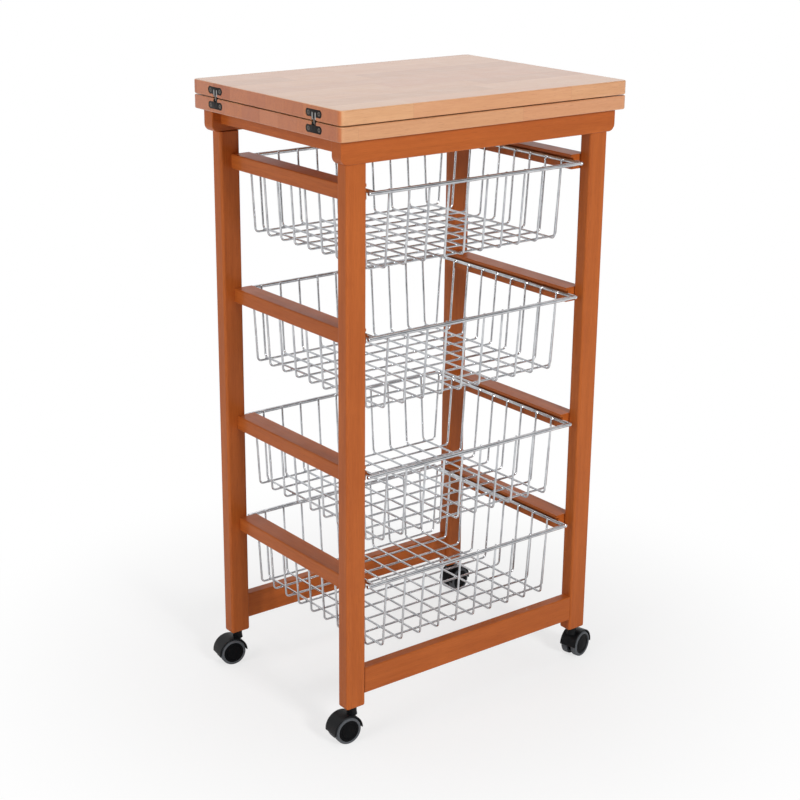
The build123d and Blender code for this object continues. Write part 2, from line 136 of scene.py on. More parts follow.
# %% [markdown]
# ## Node helpers
#
# Finishes are node trees. Written out one call at a time they are long and hard to follow, so
# small helpers add a node with its inputs, work out a value, mix two colours, and start a group
# or a finish. Colours are written as they look on a screen, from 0 to 255, and turned into
# linear light here.

# %% Node helpers
def screen_colour(red, green, blue):
    """A screen colour as linear light: each channel c becomes ((c + 0.055) / 1.055) ^ 2.4."""
    channel = np.array([red, green, blue]) / 255
    linear = np.where(channel <= 0.04045, channel / 12.92, ((channel + 0.055) / 1.055) ** 2.4)
    return (*linear.tolist(), 1.0)


def add_node(tree, kind, inputs=None, **settings):
    """A new node; each input is given a value, or linked from a socket."""
    node = tree.nodes.new(kind)
    for key, value in settings.items():
        setattr(node, key, value)
    for key, value in (inputs or {}).items():
        if isinstance(value, bpy.types.NodeSocket):
            tree.links.new(value, node.inputs[key])
        else:
            node.inputs[key].default_value = value
    return node


def calc(tree, operation, first, second=0.0, third=0.0):
    """The value of a sum, product or other operation on up to three values."""
    node = add_node(tree, "ShaderNodeMath", {0: first, 1: second, 2: third}, operation=operation)
    return node.outputs[0]


def mix_colour(tree, factor, first, second, blend="MIX"):
    """Two colours mixed by a factor."""
    inputs = {"Factor": factor, 6: first, 7: second}
    node = add_node(tree, "ShaderNodeMix", inputs, data_type="RGBA", blend_type=blend)
    return node.outputs[2]


def ramp(tree, value, low, high):
    """A value stretched so that low becomes 0 and high becomes 1, with a smooth step between."""
    inputs = {"Value": value, "From Min": low, "From Max": high}
    return add_node(tree, "ShaderNodeMapRange", inputs, interpolation_type="SMOOTHSTEP").outputs["Result"]


def noise(tree, vector, scale, detail=2.0, roughness=0.5):
    """Soft noise from 0 to 1 over a vector, with features about 1/scale metres wide."""
    inputs = {"Vector": vector, "Scale": scale, "Detail": detail, "Roughness": roughness}
    return add_node(tree, "ShaderNodeTexNoise", inputs).outputs["Fac"]


def stretched(tree, vector, scale):
    """A vector with each of its parts times its own scale."""
    return add_node(tree, "ShaderNodeMapping", {"Vector": vector, "Scale": scale}).outputs["Vector"]


def object_coordinates(tree, scale=(1.0, 1.0, 1.0)):
    """The point's own coordinates in metres; a pattern is drawn out where the scale is below one."""
    return stretched(tree, add_node(tree, "ShaderNodeTexCoord").outputs["Object"], scale)


def new_group(name, inputs, outputs):
    """An empty shader group with its named sockets, and its inner input and output nodes."""
    group = bpy.data.node_groups.new(name, "ShaderNodeTree")
    for title, kind in inputs:
        group.interface.new_socket(title, in_out="INPUT", socket_type=kind)
    for title, kind in outputs:
        group.interface.new_socket(title, in_out="OUTPUT", socket_type=kind)
    return group, group.nodes.new("NodeGroupInput").outputs, group.nodes.new("NodeGroupOutput").inputs


def place_group(tree, group, inputs):
    """A group placed in a tree with its own values; gives its outputs."""
    return add_node(tree, "ShaderNodeGroup", inputs, node_tree=group).outputs


def new_finish(name, **constants):
    """A new material with its Principled shader; constants are set on the shader's own sockets."""
    material = bpy.data.materials.new(name)
    material.use_nodes = True
    shader = material.node_tree.nodes["Principled BSDF"]
    for title, value in constants.items():
        shader.inputs[title.replace("_", " ")].default_value = value
    return material, material.node_tree, shader.inputs


def set_bump(tree, shader, height, distance, strength=1.0):
    """A height field, in units of the given distance, as the shader's normal."""
    inputs = {"Height": height, "Distance": distance, "Strength": strength}
    tree.links.new(add_node(tree, "ShaderNodeBump", inputs).outputs["Normal"], shader["Normal"])


# %% [markdown]
# ## Effects that several finishes share
#
# Wood shows the same three things whatever its colour: broad figure, thin fibres and short dark
# pores, all stretched along the grain. Every handled surface also has faint smudges, which show
# only as duller and shinier patches. Both are shader groups, built once and placed in each finish.

# %% Shader groups
FLOAT, COLOUR, VECTOR = "NodeSocketFloat", "NodeSocketColor", "NodeSocketVector"
FIGURE_SCALE, FIBRE_SCALE, PORE_SCALE = 160.0, 1000.0, 1700.0
FIGURE_SHARE, FIBRE_SHARE = 0.55, 0.45
FIBRE_RELIEF = 0.35
PORE_LOW, PORE_HIGH = 0.63, 0.74
PORE_SHADE, PORE_BOTTOM = 0.35, (0.02, 0.008, 0.003, 1.0)
BROAD_SCALE, FINE_SCALE = 33.0, 250.0
BROAD_SHARE, FINE_SHARE = 0.7, 0.3


def build_grain_group():
    """Wood grain over coordinates that are already stretched along the grain.

    Tone = FIGURE_SHARE * figure + FIBRE_SHARE * fibre, as noise 6 mm and 1 mm wide; it mixes the pale
    and dark colours. Pores are the thin peaks of noise 0.6 mm wide, from PORE_LOW to PORE_HIGH, which
    darken the colour and sink the surface."""
    inputs = [("Vector", VECTOR), ("Pale", COLOUR), ("Dark", COLOUR)]
    inputs += [("Contrast", FLOAT), ("Pores", FLOAT)]
    group, given, result = new_group("wood_grain", inputs, [("Color", COLOUR), ("Height", FLOAT)])
    figure = noise(group, given["Vector"], FIGURE_SCALE, detail=4.0, roughness=0.62)
    fibre = noise(group, given["Vector"], FIBRE_SCALE, detail=3.0, roughness=0.6)
    pore = ramp(group, noise(group, given["Vector"], PORE_SCALE, detail=1.0), PORE_LOW, PORE_HIGH)
    fibre_part = calc(group, "MULTIPLY", fibre, FIBRE_SHARE)
    tone = calc(group, "ADD", calc(group, "MULTIPLY", figure, FIGURE_SHARE), fibre_part)
    spread = calc(group, "MULTIPLY", calc(group, "SUBTRACT", tone, 0.5), given["Contrast"])
    factor = calc(group, "ADD", spread, 0.5)
    factor = add_node(group, "ShaderNodeClamp", {"Value": factor}).outputs["Result"]
    base = mix_colour(group, factor, given["Pale"], given["Dark"])
    pore_mask = calc(group, "MULTIPLY", pore, given["Pores"])
    sunk = mix_colour(group, pore_mask, base, given["Dark"])
    darker = mix_colour(group, calc(group, "MULTIPLY", pore_mask, PORE_SHADE), sunk, PORE_BOTTOM)
    group.links.new(darker, result["Color"])
    height = calc(group, "SUBTRACT", calc(group, "MULTIPLY", fibre, FIBRE_RELIEF), pore_mask)
    group.links.new(height, result["Height"])
    return group


def build_smudge_group():
    """Handling marks: a roughness that wanders around a base value.

    Roughness = base + spread * (BROAD_SHARE * (broad - 0.5) + FINE_SHARE * (fine - 0.5)), where broad
    and fine are noise 30 mm and 4 mm wide."""
    inputs = [("Vector", VECTOR), ("Base", FLOAT), ("Spread", FLOAT)]
    group, given, result = new_group("handling_marks", inputs, [("Roughness", FLOAT)])
    broad = calc(group, "SUBTRACT", noise(group, given["Vector"], BROAD_SCALE, detail=3.0), 0.5)
    fine = calc(group, "SUBTRACT", noise(group, given["Vector"], FINE_SCALE, detail=4.0), 0.5)
    fine_part = calc(group, "MULTIPLY", fine, FINE_SHARE)
    both = calc(group, "ADD", calc(group, "MULTIPLY", broad, BROAD_SHARE), fine_part)
    wandering = calc(group, "MULTIPLY_ADD", both, given["Spread"], given["Base"])
    group.links.new(wandering, result["Roughness"])
    return group


GRAIN = build_grain_group()
SMUDGE = build_smudge_group()


def set_marks(tree, shader, vector, base, spread):
    """The handling marks over a vector, as the shader's roughness."""
    marks = place_group(tree, SMUDGE, {"Vector": vector, "Base": base, "Spread": spread})
    tree.links.new(marks["Roughness"], shader["Roughness"])


print("groups:", ", ".join(group.name for group in bpy.data.node_groups))

# %% [markdown]
# ## Stained frame wood
#
# The legs, rails, runners and stretchers are solid wood under an orange-brown stain and a glossy
# varnish. The grain runs along each stick, so the same finish is made three times, stretched
# along X, Y or Z. The varnish is the shader's coat layer: one constant, with the wood below it
# keeping its own roughness.

# %% Stained frame wood
STAIN_PALE = screen_colour(200, 109, 47)
STAIN_DARK = screen_colour(152, 72, 25)
ALONG_GRAIN = 0.045
DRIFT_SCALE, DRIFT_SHARE = 7.0, 0.3


def stained_wood(name, scale):
    """Stained and varnished wood whose grain is stretched along the axis with the small scale.

    A broad drift of noise, 140 mm wide, darkens it by up to DRIFT_SHARE."""
    varnish = {"Coat_Weight": 0.14, "Coat_Roughness": 0.16}
    material, tree, shader = new_finish(name, Specular_IOR_Level=0.14, **varnish)
    place = object_coordinates(tree, scale)
    inputs = {"Vector": place, "Pale": STAIN_PALE, "Dark": STAIN_DARK, "Contrast": 1.5, "Pores": 0.35}
    grain = place_group(tree, GRAIN, inputs)
    plain = object_coordinates(tree)
    drift = ramp(tree, noise(tree, plain, DRIFT_SCALE), 0.3, 0.75)
    toned = mix_colour(tree, calc(tree, "MULTIPLY", drift, DRIFT_SHARE), grain["Color"], STAIN_DARK)
    tree.links.new(toned, shader["Base Color"])
    set_marks(tree, shader, plain, base=0.42, spread=0.3)
    set_bump(tree, shader, grain["Height"], distance=0.04 * MM)
    return material


frame_wood = {
    "x": stained_wood("stained_wood_x", (ALONG_GRAIN, 1.0, 1.0)),
    "y": stained_wood("stained_wood_y", (1.0, ALONG_GRAIN, 1.0)),
    "z": stained_wood("stained_wood_z", (1.0, 1.0, ALONG_GRAIN)),
}
print("stained wood, with its grain along:", ", ".join(frame_wood))

# %% [markdown]
# ## Laminated worktop wood
#
# Each leaf is glued up from narrow strips that run along X, and each strip from shorter blocks
# with staggered ends. Separate little boards would show the joints too, but a leaf is one
# piece, so its finish works them out: the strip number comes from Y, the block number from X
# plus an offset that each strip draws at random, and each block draws its own tone. On the two
# ends of a leaf the blocks show end grain, which is darker and redder and has no long fibres.

# %% Laminated worktop wood
STRIP_WIDTH = 41.0 * MM
BLOCK_LENGTH = 260.0 * MM
GLUE_LINE = 0.25 * MM
LEAF_PALE = screen_colour(226, 176, 130)
LEAF_DARK = screen_colour(196, 138, 92)
END_PALE = screen_colour(208, 124, 66)
END_DARK = screen_colour(170, 88, 42)
LEAF_RED = screen_colour(214, 140, 100)
GLUE_BROWN = screen_colour(120, 70, 40)
LONG_STRETCH, END_STRETCH = (ALONG_GRAIN, 0.8, 0.8), (0.6, 0.6, 0.25)
TONE_SHARE, RED_SHARE, GLUE_SHARE = 0.42, 0.3, 0.35
GLUE_SINK = 0.6
OFFSET_KEY, SECOND_KEY = 7.0, 3.0


def combine(tree, x, y, z):
    """Three values as one vector."""
    return add_node(tree, "ShaderNodeCombineXYZ", {"X": x, "Y": y, "Z": z}).outputs["Vector"]


def draw_number(tree, first, second, third):
    """A random number from 0 to 1 for each set of three whole numbers."""
    key = combine(tree, first, second, third)
    draw = add_node(tree, "ShaderNodeTexWhiteNoise", {"Vector": key}, noise_dimensions="3D")
    return draw.outputs["Value"]


def joint_line(tree, place, size, width):
    """A thin dark line, 1 on the joint and 0 beside it, wherever place passes a multiple of size."""
    nearest = calc(tree, "PINGPONG", place, size / 2)
    return calc(tree, "SUBTRACT", 1.0, ramp(tree, nearest, 0.0, width))


def laminated_wood(name, layer):
    """Strips of staggered blocks; layer is a whole number that gives each leaf its own draw."""
    varnish = {"Coat_Weight": 0.75, "Coat_Roughness": 0.2}
    material, tree, shader = new_finish(name, Specular_IOR_Level=0.25, **varnish)
    raw = add_node(tree, "ShaderNodeTexCoord").outputs
    axes = add_node(tree, "ShaderNodeSeparateXYZ", {"Vector": raw["Object"]}).outputs
    across = calc(tree, "ADD", axes["Y"], STRIP_WIDTH * (0.5 + layer / 3))
    strip = calc(tree, "FLOOR", calc(tree, "DIVIDE", across, STRIP_WIDTH))
    offset = calc(tree, "MULTIPLY", draw_number(tree, strip, float(layer), OFFSET_KEY), BLOCK_LENGTH)
    along = calc(tree, "ADD", axes["X"], offset)
    block = calc(tree, "FLOOR", calc(tree, "DIVIDE", along, BLOCK_LENGTH))
    tone = draw_number(tree, strip, block, float(layer))
    second_tone = draw_number(tree, block, strip, layer + SECOND_KEY)

    shifted_x = calc(tree, "ADD", axes["X"], tone)
    shifted_y = calc(tree, "ADD", axes["Y"], second_tone)
    shifted = combine(tree, shifted_x, shifted_y, axes["Z"])
    long_inputs = {"Pale": LEAF_PALE, "Dark": LEAF_DARK, "Contrast": 1.6, "Pores": 0.4}
    long_inputs["Vector"] = stretched(tree, shifted, LONG_STRETCH)
    long_grain = place_group(tree, GRAIN, long_inputs)
    end_inputs = {"Pale": END_PALE, "Dark": END_DARK, "Contrast": 1.3, "Pores": 0.6}
    end_inputs["Vector"] = stretched(tree, shifted, END_STRETCH)
    end_grain = place_group(tree, GRAIN, end_inputs)
    facing = add_node(tree, "ShaderNodeSeparateXYZ", {"Vector": raw["Normal"]}).outputs
    on_end = ramp(tree, calc(tree, "ABSOLUTE", facing["X"]), 0.55, 0.85)

    wood = mix_colour(tree, on_end, long_grain["Color"], end_grain["Color"])
    wood = mix_colour(tree, calc(tree, "MULTIPLY", tone, TONE_SHARE), wood, LEAF_DARK, "MULTIPLY")
    redder = mix_colour(tree, calc(tree, "MULTIPLY", second_tone, RED_SHARE), wood, LEAF_RED)
    strip_line = joint_line(tree, across, STRIP_WIDTH, GLUE_LINE)
    block_line = joint_line(tree, along, BLOCK_LENGTH, GLUE_LINE)
    on_face = calc(tree, "SUBTRACT", 1.0, on_end)
    lines = calc(tree, "MAXIMUM", strip_line, calc(tree, "MULTIPLY", block_line, on_face))
    coloured = mix_colour(tree, calc(tree, "MULTIPLY", lines, GLUE_SHARE), redder, GLUE_BROWN)
    tree.links.new(coloured, shader["Base Color"])
    set_marks(tree, shader, raw["Object"], base=0.4, spread=0.25)
    height = calc(tree, "SUBTRACT", long_grain["Height"], calc(tree, "MULTIPLY", lines, GLUE_SINK))
    set_bump(tree, shader, height, distance=0.03 * MM)
    return material


leaf_wood = {
    "worktop_lower": laminated_wood("laminated_wood_lower", 1),
    "worktop_flap": laminated_wood("laminated_wood_flap", 2),
}
print("laminated wood for:", ", ".join(leaf_wood))

# %% [markdown]
# ## Metal, plastic and felt
#
# The baskets are bright plated wire, the hinge plates dark bronzed steel with bare specks, the
# links and hinge screws burnished steel, and the casters black and grey moulded plastic. All but
# the felt share the handling marks. They differ in colour and roughness, and each has a fine
# bump of its own: a fine grain on wire, streaks on steel, pebbles on plastic, fuzz on felt.

# %% Metal, plastic and felt
PLATING_BRIGHT, PLATING_DULL = screen_colour(210, 212, 215), screen_colour(184, 186, 190)
STEEL_BRIGHT, STEEL_BURNISHED = screen_colour(176, 175, 173), screen_colour(112, 104, 98)
STREAK_SHADE = 0.72
BRONZE_DARK, BRONZE_BARE = screen_colour(20, 14, 12), screen_colour(72, 60, 52)
DUST_SHARE = 0.35
FELT_DARK, FELT_PALE = screen_colour(96, 72, 54), screen_colour(150, 120, 94)


def plated_wire():
    """Bright plating: metal whose roughness wanders, with a fine grain in the bump."""
    material, tree, shader = new_finish("plated_wire", Metallic=1.0)
    place = object_coordinates(tree)
    cloud = ramp(tree, noise(tree, place, scale=60.0, detail=3.0), 0.35, 0.7)
    colour = mix_colour(tree, cloud, PLATING_BRIGHT, PLATING_DULL)
    tree.links.new(colour, shader["Base Color"])
    set_marks(tree, shader, place, base=0.2, spread=0.2)
    set_bump(tree, shader, noise(tree, place, scale=1800.0), distance=0.02 * MM)
    return material


def plain_steel(name, shade):
    """Machined steel: fine streaks one way, and roughness that wanders."""
    material, tree, shader = new_finish(name, Metallic=1.0)
    streak = noise(tree, object_coordinates(tree, (1.0, 1.0, 0.08)), scale=2600.0, detail=3.0)
    darker = tuple(STREAK_SHADE * value for value in shade[:3]) + (1.0,)
    tree.links.new(mix_colour(tree, streak, shade, darker), shader["Base Color"])
    set_marks(tree, shader, object_coordinates(tree), base=0.3, spread=0.3)
    set_bump(tree, shader, streak, distance=0.02 * MM)
    return material


def bronzed_plate():
    """Dark bronzing over steel: brown-black, with bare specks, worn from 0 to 1, where noise peaks.

    Metallic = 0.6 * worn + 0.2."""
    material, tree, shader = new_finish("bronzed_plate", Specular_IOR_Level=0.2)
    place = object_coordinates(tree)
    worn = ramp(tree, noise(tree, place, scale=420.0, detail=5.0, roughness=0.65), 0.62, 0.78)
    colour = mix_colour(tree, worn, BRONZE_DARK, BRONZE_BARE)
    tree.links.new(colour, shader["Base Color"])
    tree.links.new(calc(tree, "MULTIPLY_ADD", worn, 0.6, 0.2), shader["Metallic"])
    set_marks(tree, shader, place, base=0.4, spread=0.3)
    set_bump(tree, shader, noise(tree, place, scale=900.0, detail=3.0), distance=0.04 * MM)
    return material


def moulded_plastic(name, shade, dusty, gloss, shine):
    """Moulded plastic with a pebbled skin; a little dust pales it in patches.

    gloss is its roughness, shine the strength of its reflections."""
    material, tree, shader = new_finish(name, Specular_IOR_Level=shine)
    place = object_coordinates(tree)
    patch = ramp(tree, noise(tree, place, scale=90.0, detail=4.0, roughness=0.6), 0.45, 0.8)
    dust = calc(tree, "MULTIPLY", patch, DUST_SHARE)
    colour = mix_colour(tree, dust, screen_colour(*shade), screen_colour(*dusty))
    tree.links.new(colour, shader["Base Color"])
    set_marks(tree, shader, place, base=gloss, spread=0.25)
    pebbles = add_node(tree, "ShaderNodeTexVoronoi", {"Vector": place, "Scale": 1400.0})
    set_bump(tree, shader, pebbles.outputs["Distance"], distance=0.03 * MM, strength=0.5)
    return material


def pressed_felt():
    """Pressed felt: mottled brown fibres with a rough bump and a soft sheen."""
    material, tree, shader = new_finish("pressed_felt", Roughness=0.95, Sheen_Weight=0.3)
    place = object_coordinates(tree)
    fibre = noise(tree, place, scale=1500.0, detail=5.0, roughness=0.7)
    tree.links.new(mix_colour(tree, fibre, FELT_DARK, FELT_PALE), shader["Base Color"])
    set_bump(tree, shader, fibre, distance=0.2 * MM)
    return material


wire_finish = plated_wire()
steel = plain_steel("plain_steel", STEEL_BRIGHT)
dark_steel = plain_steel("burnished_steel", STEEL_BURNISHED)
bronze = bronzed_plate()
black_plastic = moulded_plastic("black_plastic", (14, 15, 17), (30, 31, 33), gloss=0.36, shine=0.16)
cap_plastic = moulded_plastic("cap_plastic", (8, 9, 11), (20, 21, 23), gloss=0.42, shine=0.08)
tyre_plastic = moulded_plastic("tyre_plastic", (84, 87, 91), (106, 108, 111), gloss=0.5, shine=0.16)
felt = pressed_felt()
print("finishes:", len(bpy.data.materials))

# %% [markdown]
# ## Finishes on the solid pieces
#
# The wooden pieces already have their true shape, with eased edges, so they stay as they are
# and only take a finish. So do the dowels, pins, axles, stems, sockets and felt, most of which are
# hidden. What runs which way is known from the piece: legs are upright, top rails and stretchers
# lie along X, runners and cross rails along Y. A solid that a finer surface replaces later takes
# plain steel until then.

# %% Dress the solid pieces
SOLID_FINISHES = {
    "leg_": frame_wood["z"],
    "top_rail_": frame_wood["x"],
    "stretcher_": frame_wood["x"],
    "cross_rail_": frame_wood["y"],
    "runner_": frame_wood["y"],
    "worktop_lower": leaf_wood["worktop_lower"],
    "worktop_flap": leaf_wood["worktop_flap"],
    "worktop_bumpers": felt,
    "worktop_screws": steel,
    "frame_dowels": leaf_wood["worktop_lower"],
    "caster_sockets": black_plastic,
    "hinge_pins_": steel,
    "caster_": steel,
}


def dress(name, material):
    """Give a solid node's object one finish in its first material slot."""
    solid = nodes[name]
    if not solid.material_slots:
        solid.data.materials.append(None)
    solid.material_slots[0].material = material


for name in nodes:
    finish = next((SOLID_FINISHES[key] for key in SOLID_FINISHES if name.startswith(key)), steel)
    dress(name, finish)
print("dressed:", len(nodes), "solid nodes")

# %% [markdown]
# ## Wire baskets
#
# A basket hangs on two stout side rods that run in the grooves. A back bar joins their ends, and
# a front bar runs from the right rod's side past the left rod's end. Inside them are thin wires
# bent like a U: ten from front to back and nine from side to side, welded where they cross. A
# curve with a round bevel could make them, but a ring carried along a path gives the same wire
# with full control: the path is straight runs with rounded corners, the ring turns with the
# path, and each end is rounded over. Small beads stand where two wires are welded together.

# %% Paths and round wire
def bent_path(corners, bend, steps=9):
    """Points along straight runs whose corners are rounded by arcs of one radius.

    Where direction u turns into v by the angle phi, the arc starts bend * tan(phi / 2) before the
    corner. Its centre lies bend away along w, the part of v that is square to u, and its points are
    centre + bend * (u sin a - w cos a), for a from 0 to phi."""
    corners = np.asarray(corners, float)
    u, v = unit(corners[1:-1] - corners[:-2]), unit(corners[2:] - corners[1:-1])
    cosine = np.sum(u * v, axis=1, keepdims=True)
    turn = np.arccos(cosine)
    w = unit(v - cosine * u)
    centre = corners[1:-1] - u * bend * np.tan(turn / 2) + bend * w
    angle = (turn * np.linspace(0, 1, steps))[..., None]
    arcs = centre[:, None] + bend * (np.sin(angle) * u[:, None] - np.cos(angle) * w[:, None])
    return np.vstack([corners[:1], arcs.reshape(-1, 3), corners[-1:]])


def round_wire(path, flat, radius, end_round, sides=12):
    """A round wire along a path that lies in one plane, whose normal is flat.

    Around each point p with direction t lies the ring p + radius * (cos a * (flat x t) + sin a * flat).
    Past each end lie three more rings, at b = 30, 60 and 85 degrees of its rounding: end_round * sin b
    further on, with the radius less by end_round * (1 - cos b). A flat face closes the last one."""
    path = np.asarray(path, float)
    tangent = unit(np.gradient(path, axis=0))
    tangent[[0, -1]] = unit(np.stack([path[1] - path[0], path[-1] - path[-2]]))
    turn = np.radians([30.0, 60.0, 85.0])
    past, less = (end_round * np.sin(turn))[:, None], end_round * (1 - np.cos(turn))
    path = np.vstack([path[0] - tangent[0] * past[::-1], path, path[-1] + tangent[-1] * past])
    radii = radius - np.concatenate([less[::-1], np.zeros(len(tangent)), less])
    extra = len(turn)
    tangent = np.vstack([tangent[:1].repeat(extra, 0), tangent, tangent[-1:].repeat(extra, 0)])
    side = np.cross(flat, tangent)
    angle = np.linspace(0, 2 * np.pi, sides, endpoint=False)[None, :, None]
    ring = np.cos(angle) * side[:, None] + np.sin(angle) * np.asarray(flat, float)
    points = path[:, None] + radii[:, None, None] * ring
    return grid_surface(points, wrap_columns=True, cap_rows=True)


def weld_beads(centres, radii, rows=5, columns=8):
    """Small ellipsoids at many centres at once: centre + radii * (sin v cos u, sin v sin u, cos v).

    v stops a little short of both poles, where a small flat face closes the ball."""
    pole = 0.12
    v = np.linspace(pole, np.pi - pole, rows)[:, None]
    u = np.linspace(0, 2 * np.pi, columns, endpoint=False)[None, :]
    ball = np.stack(np.broadcast_arrays(np.sin(v) * np.cos(u), np.sin(v) * np.sin(u), np.cos(v)), axis=-1)
    return [grid_surface(centre + ball * radii, wrap_columns=True, cap_rows=True) for centre in centres]


# %% Wire baskets
RIM_RADIUS, RIM_ROUND = 2.75 * MM, 1.5 * MM
WIRE_RADIUS, WIRE_ROUND = 1.5 * MM, 0.6 * MM
WIRE_BEND = 6.0 * MM
WIRE_GAP = 0.02 * MM
WIRE_RISE = 1.6 * MM
SIDE_LEAN, FRONT_LEAN = 6.5 * MM, 8.0 * MM
LEFT_MARGIN, RIGHT_MARGIN = 20.4 * MM, 27.7 * MM
FRONT_MARGIN, BACK_MARGIN = 28.6 * MM, 9.6 * MM
LONG_COUNT, SHORT_COUNT = 10, 9
BASKET_COUNT = 4
BEAD = np.array([1.9, 1.9, 1.7]) * MM
CORNER_BEAD = np.array([2.9, 1.7, 2.5]) * MM


def wire_inside_rim(rim_place, lean, depth):
    """Where a leaning wire's axis crosses the rim's level, touching the rim from inside.

    It lies inside the rim's axis by both radii and the gap, over the cosine of the wire's lean."""
    return rim_place - (RIM_RADIUS + WIRE_RADIUS + WIRE_GAP) / math.cos(math.atan2(lean, depth))


def rim_rods(bar_left, rim_x, rim_y, rim_z):
    """The front bar, the back bar and the two side rods; where two meet, one runs into the other."""
    meet_x, meet_y = rim_x - RIM_RADIUS, rim_y - RIM_RADIUS
    free_x, free_y = rim_x + RIM_RADIUS - RIM_ROUND, rim_y + RIM_RADIUS - RIM_ROUND
    runs = [
        [(bar_left + RIM_ROUND, -rim_y, rim_z), (meet_x, -rim_y, rim_z)],
        [(-free_x, rim_y, rim_z), (free_x, rim_y, rim_z)],
        [(-rim_x, -meet_y, rim_z), (-rim_x, meet_y, rim_z)],
        [(rim_x, -free_y, rim_z), (rim_x, meet_y, rim_z)],
    ]
    return [round_wire(run, (0, 0, 1), RIM_RADIUS, RIM_ROUND, sides=16) for run in runs]


def u_wire(place, across, top, lean, drop, depth, rim_z):
    """One U-shaped wire at a place on the axis across; the other level axis runs from wall to wall.

    At a height h above the rim's level its walls stand at top + h * lean / depth from the middle."""
    slope = lean / depth
    head, foot = top + slope * WIRE_RISE, top - slope * drop
    outline = [(-head, WIRE_RISE), (-foot, -drop), (foot, -drop), (head, WIRE_RISE)]
    corners = np.insert([(run, rim_z + rise) for run, rise in outline], across, place, axis=1)
    return round_wire(bent_path(corners, WIRE_BEND), np.eye(3)[across], WIRE_RADIUS, WIRE_ROUND)


def make_basket(number):
    """Rods, bent wires and weld beads of one basket, in the space of its solid."""
    low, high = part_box(f"basket_{number}")
    rim_z = high.z - RIM_RADIUS
    rim_x, rim_y = high.x - RIM_RADIUS, high.y - RIM_RADIUS
    depth = rim_z - low.z - WIRE_RADIUS
    upper = depth - 2 * WIRE_RADIUS - WIRE_GAP
    top_x = wire_inside_rim(rim_x, SIDE_LEAN, depth)
    top_y = wire_inside_rim(rim_y, FRONT_LEAN, depth)
    xs = np.linspace(LEFT_MARGIN - top_x, top_x - RIGHT_MARGIN, LONG_COUNT)
    ys = np.linspace(FRONT_MARGIN - top_y, top_y - BACK_MARGIN, SHORT_COUNT)
    wires = [u_wire(x, 0, top_y, FRONT_LEAN, upper, depth, rim_z) for x in xs]
    wires += [u_wire(y, 1, top_x, SIDE_LEAN, depth, depth, rim_z) for y in ys]

    cross_x, cross_y = np.meshgrid(xs, ys)
    crossings = np.stack([cross_x, cross_y, np.full_like(cross_x, rim_z - upper - WIRE_RADIUS)], axis=-1)
    shift = RIM_RADIUS + WIRE_GAP
    at_rim = [(x, side * (rim_y - shift), rim_z) for x in xs for side in (-1, 1)]
    at_rim += [(side * (rim_x - shift), y, rim_z) for y in ys for side in (-1, 1)]
    beads = weld_beads(np.vstack([crossings.reshape(-1, 3), np.array(at_rim)]), BEAD)
    corners = np.array([(-1, -1), (-1, 1), (1, 1)]) * (rim_x, rim_y - RIM_RADIUS)
    beads += weld_beads(np.insert(corners, 2, rim_z, axis=1), CORNER_BEAD)
    beads += weld_beads(np.array([(rim_x - RIM_RADIUS, -rim_y, rim_z)]), CORNER_BEAD[[1, 0, 2]])

    body, solid = f"wire_basket_{number}", f"basket_{number}"
    rods = rim_rods(low.x, rim_x, rim_y, rim_z)
    make_piece(f"basket_{number}_rim", rods, wire_finish, body, [solid])
    make_piece(f"basket_{number}_wires", wires, wire_finish, body, [solid])
    make_piece(f"basket_{number}_welds", beads, wire_finish, body, [solid])
    return len(wires), len(beads)


for number in range(1, BASKET_COUNT + 1):
    wire_count, bead_count = make_basket(number)
    print(f"basket {number}: {wire_count} wires, {bead_count} weld beads")

# %% [markdown]
# ## Casters
#
# A twin-wheel caster has a domed hood over two wheels, with a thin web between them and a neck
# that turns under the leg. The wheels are turned shapes: a grey tyre with rounded shoulders and
# a black cap with a ring pressed into its face. The hood is a profile, too: a thin section with
# rounded edges, carried along an arc about the axle and closed at both ends by shrinking it to
# its middle line.

# %% Turned shapes and caster sizes
WHEEL_RADIUS = 19.0 * MM
WHEEL_INNER, WHEEL_OUTER = 3.5 * MM, 13.1 * MM
TYRE_BAND = 3.7 * MM
AXLE_RADIUS = 2.5 * MM
HOOD_INNER, HOOD_OUTER = 20.0 * MM, 22.0 * MM
HOOD_REAR, HOOD_FRONT = math.radians(-6.0), math.radians(178.0)
WEB_HALF = 3.0 * MM
NECK_RADIUS, NECK_SINK = 6.5 * MM, 1.5 * MM
TURN_STEPS, HOOD_STEPS = 72, 40
UP = np.array([0.0, 0.0, 1.0])


def arc_points(centre, radius, start, end, steps=6):
    """Points of a flat arc: centre + radius * (cos a, sin a), from one angle in degrees to another."""
    angle = np.radians(np.linspace(start, end, steps))
    return np.asarray(centre) + radius * np.stack([np.cos(angle), np.sin(angle)], axis=-1)


def turned(profile, hub, along, steps=TURN_STEPS):
    """A closed turned shape about the axis along.

    The profile's points (s, r) become hub + s * along + r * (cos a * e + sin a * f), where e and f are
    square to the axis and to each other."""
    e = unit(np.cross(along, UP if abs(along[2]) < 0.9 else (1.0, 0.0, 0.0)))
    f = np.cross(along, e)
    angle = np.linspace(0, 2 * np.pi, steps, endpoint=False)
    spoke = np.cos(angle)[:, None] * e + np.sin(angle)[:, None] * f
    profile = np.asarray(profile, float)
    points = np.asarray(hub) + profile[None, :, :1] * along + profile[None, :, 1:] * spoke[:, None]
    return grid_surface(points, wrap_rows=True, wrap_columns=True)


